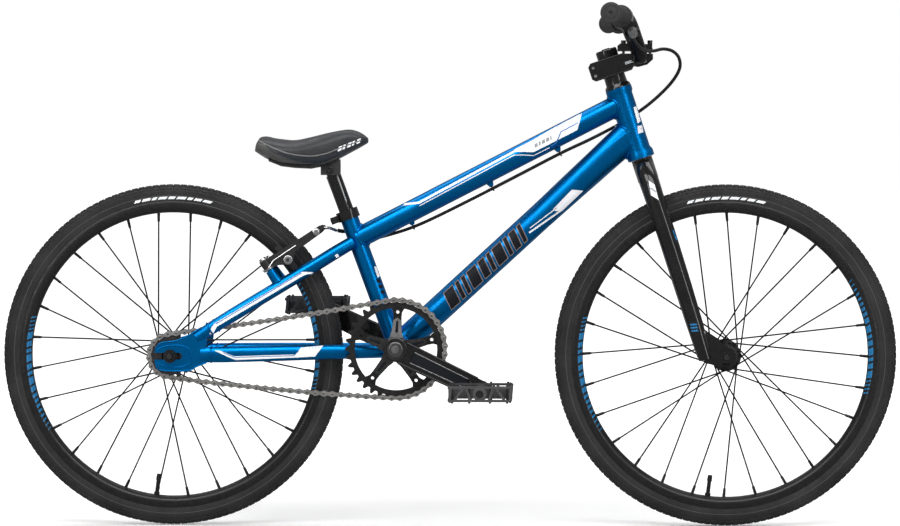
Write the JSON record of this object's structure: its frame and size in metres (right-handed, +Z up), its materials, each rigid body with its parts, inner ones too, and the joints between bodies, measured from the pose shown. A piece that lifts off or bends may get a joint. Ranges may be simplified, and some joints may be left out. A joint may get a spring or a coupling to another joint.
{
  "type": "bmx bicycle",
  "caption": "Single-speed BMX bicycle with a hollow tube frame, chain drive, rear brake, and wheels, bars, cranks, pedals and saddle that move.",
  "frame": {"origin": "on the ground, halfway along the length and midway between the grips' outer ends", "axes": "+X forward, +Y to the rider's left, +Z up"},
  "size_m": [1.33, 0.6078, 0.7688],
  "materials": {
    "cobalt_paint": "metallic gloss",
    "gloss_black_paint": "gloss",
    "black_alloy": "satin black",
    "brake_alloy": "satin black",
    "lever_alloy": "satin dark grey",
    "bright_steel": "bright",
    "chain_steel": "grey steel",
    "tyre_rubber": "matte",
    "grip_rubber": "matte",
    "pad_rubber": "matte",
    "cable_housing": "satin",
    "pedal_plastic": "satin",
    "saddle_cover": "soft matte",
    "saddle_base": "satin"
  },
  "bodies": {
    "frame": {"head_tube": "cobalt_paint", "top_tube": "cobalt_paint", "down_tube": "cobalt_paint", "seat_tube": "cobalt_paint", "crank_shell": "cobalt_paint", "right_seatstay": "cobalt_paint", "left_seatstay": "cobalt_paint", "right_chainstay": "cobalt_paint", "left_chainstay": "cobalt_paint", "upper_headset_bearing": "bright_steel", "lower_headset_bearing": "bright_steel", "right_crank_bearing": "bright_steel", "left_crank_bearing": "bright_steel", "seat_clamp": "black_alloy", "seat_clamp_bolt": "bright_steel", "rear_axle": "bright_steel", "right_rear_axle_nut": "bright_steel", "left_rear_axle_nut": "bright_steel", "chain": "chain_steel", "rear_brake_cable": "cable_housing"},
    "steering": {"fork": "gloss_black_paint", "headset_cover": "black_alloy", "stem": "gloss_black_paint", "stem_faceplate": "gloss_black_paint", "top_cap": "black_alloy", "handlebar": "gloss_black_paint", "handlebar_crossbar": "gloss_black_paint", "right_grip": "grip_rubber", "left_grip": "grip_rubber", "brake_lever_perch": "black_alloy", "front_axle": "bright_steel", "right_front_axle_nut": "bright_steel", "left_front_axle_nut": "bright_steel", "front_cable_loop": "cable_housing"},
    "brake_lever": {"brake_lever": "lever_alloy"},
    "front_wheel": {"front_tyre": "tyre_rubber", "front_rim": "black_alloy", "front_spokes": "black_alloy", "front_hub_shell": "black_alloy"},
    "rear_wheel": {"rear_tyre": "tyre_rubber", "rear_rim": "black_alloy", "rear_spokes": "black_alloy", "rear_hub_shell": "black_alloy"},
    "freewheel": {"rear_cog": "bright_steel"},
    "crankset": {"crank_spindle": "bright_steel", "right_crank_arm": "gloss_black_paint", "left_crank_arm": "gloss_black_paint", "chainring": "black_alloy", "right_pedal_spindle": "bright_steel", "left_pedal_spindle": "bright_steel"},
    "right_pedal": {"right_pedal_body": "pedal_plastic"},
    "left_pedal": {"left_pedal_body": "pedal_plastic"},
    "right_brake": {"right_brake_arm": "brake_alloy", "right_brake_pad": "pad_rubber"},
    "left_brake": {"left_brake_arm": "brake_alloy", "left_brake_pad": "pad_rubber", "brake_noodle": "bright_steel"},
    "seat_post": {"seat_post": "gloss_black_paint"},
    "saddle": {"saddle_pad": "saddle_cover", "saddle_base": "saddle_base"}
  },
  "joints": [
    {"name": "steering_turn", "type": "hinge", "parent": "frame", "child": "steering", "pos_m": [0.2861, 0, 0.5466], "axis": [-0.314, 0, 0.9494], "range_deg": [-70, 70], "deforming": ["front_cable_loop"]},
    {"name": "front_wheel_spin", "type": "hinge", "parent": "steering", "child": "front_wheel", "pos_m": [0.411, 0, 0.254], "axis": [0, 1, 0], "continuous": true},
    {"name": "rear_wheel_spin", "type": "hinge", "parent": "frame", "child": "rear_wheel", "pos_m": [-0.411, 0, 0.254], "axis": [0, 1, 0], "continuous": true},
    {"name": "crank_turn", "type": "hinge", "parent": "frame", "child": "crankset", "pos_m": [-0.077, 0, 0.2643], "axis": [0, 1, 0], "continuous": true},
    {"name": "freewheel_turn", "type": "hinge", "parent": "frame", "child": "freewheel", "pos_m": [-0.411, 0, 0.254], "axis": [0, 1, 0], "continuous": true},
    {"name": "right_pedal_spin", "type": "hinge", "parent": "crankset", "child": "right_pedal", "pos_m": [0.04978, -0.125, 0.20491], "axis": [0, 1, 0], "continuous": true},
    {"name": "left_pedal_spin", "type": "hinge", "parent": "crankset", "child": "left_pedal", "pos_m": [-0.20378, 0.125, 0.32369], "axis": [0, 1, 0], "continuous": true},
    {"name": "lever_squeeze", "type": "hinge", "parent": "steering", "child": "brake_lever", "pos_m": [0.2703, -0.167, 0.728], "axis": [-0.866, 0, -0.5], "range_deg": [0, 7.5], "stiffness_Nm_per_rad": 1, "springref_deg": -8.59},
    {"name": "right_brake_close", "type": "hinge", "parent": "frame", "child": "right_brake", "pos_m": [-0.269, -0.04, 0.388], "axis": [-0.5621, 0, 0.8271], "range_deg": [0, 2.4], "stiffness_Nm_per_rad": 0.8, "springref_deg": -5.73},
    {"name": "left_brake_close", "type": "hinge", "parent": "frame", "child": "left_brake", "pos_m": [-0.269, 0.04, 0.388], "axis": [0.5621, 0, -0.8271], "range_deg": [0, 2.4], "stiffness_Nm_per_rad": 0.8, "springref_deg": -5.73},
    {"name": "seat_post_height", "type": "slide", "parent": "frame", "child": "seat_post", "axis": [-0.3469, 0, 0.9379], "range_m": [-0.045, 0.035]},
    {"name": "saddle_tilt", "type": "hinge", "parent": "seat_post", "child": "saddle", "pos_m": [-0.177, 0, 0.529], "axis": [0, 1, 0], "range_deg": [-10, 10]}
  ],
  "couplings": [
    {"joint": "freewheel_turn", "follows": "crank_turn", "ratio": 2.25},
    {"joint": "right_brake_close", "follows": "lever_squeeze", "ratio": 0.32},
    {"joint": "left_brake_close", "follows": "lever_squeeze", "ratio": 0.32}
  ]
}
